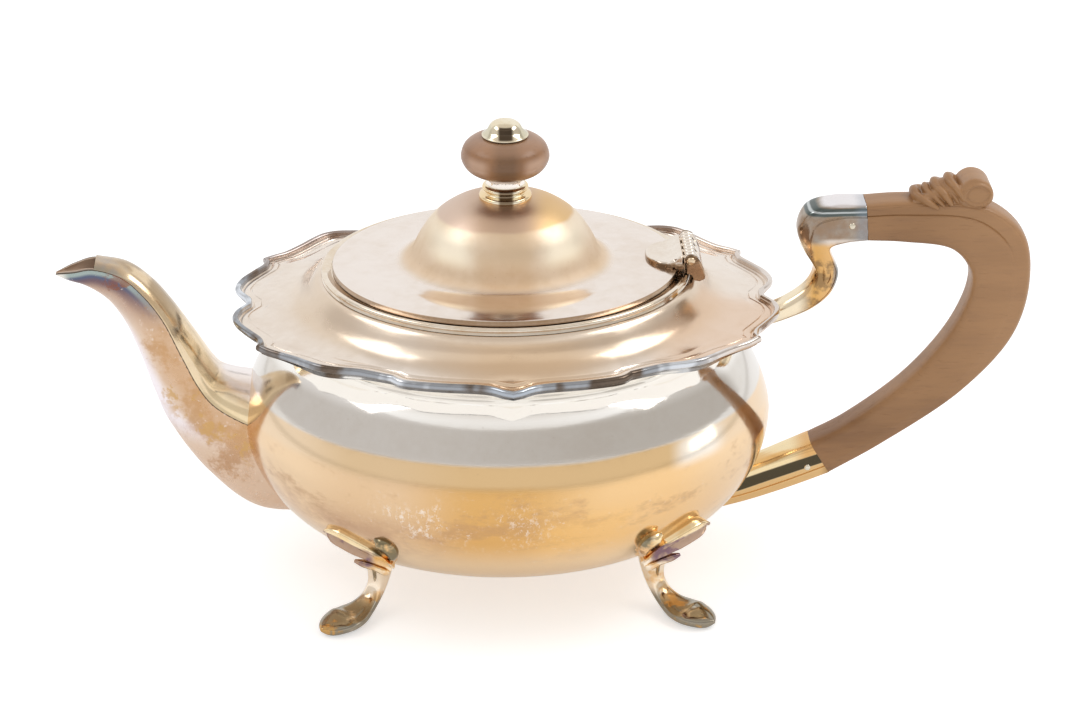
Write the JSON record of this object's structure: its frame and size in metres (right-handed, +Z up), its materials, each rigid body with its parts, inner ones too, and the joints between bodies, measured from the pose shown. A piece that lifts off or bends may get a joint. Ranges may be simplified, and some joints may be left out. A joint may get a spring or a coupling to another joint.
{
  "type": "teapot",
  "caption": "Oval footed silver-plated teapot with a scalloped rim, a hinged domed lid with a wooden knob, a seamed swan spout and a carved wooden handle in cast sockets.",
  "frame": {"origin": "middle of the overall length and width, on the plane that the four feet stand on", "axes": "+Z up; the spout points along -X and the handle along +X; the pot is symmetric across the XZ plane"},
  "size_m": [0.2902, 0.137, 0.1449],
  "materials": {
    "pale_silver": "polished, lightly tarnished",
    "warm_silver": "polished, golden patina",
    "dark_silver": "polished, brown tarnish",
    "blue_silver": "polished, blue-grey tarnish",
    "wood": "satin, waxed"
  },
  "bodies": {
    "pot": {"body_bowl": "warm_silver", "body_shoulder": "pale_silver", "rim_border": "blue_silver", "opening_bezel": "warm_silver", "spout_lower_half": "dark_silver", "spout_upper_half": "warm_silver", "spout_strainer": "pale_silver", "foot_spout_front": "warm_silver", "foot_spout_back": "warm_silver", "foot_handle_front": "warm_silver", "foot_handle_back": "warm_silver", "handle_upper_socket": "blue_silver", "handle_lower_socket": "warm_silver", "handle_grip": "wood", "handle_upper_pin": "pale_silver", "handle_lower_pin": "pale_silver", "hinge_bracket": "dark_silver", "hinge_pin": "warm_silver"},
    "lid": {"lid": "pale_silver", "lid_inner_rim": "pale_silver", "hinge_leaf": "dark_silver", "finial_collar": "warm_silver", "finial_knob": "wood", "finial_cap": "pale_silver", "finial_nut": "warm_silver"}
  },
  "joints": [
    {"name": "lid_hinge", "type": "hinge", "parent": "pot", "child": "lid", "pos_m": [0.04255, 0, 0.1034], "axis": [0, 1, 0], "range_deg": [0, 105]}
  ]
}
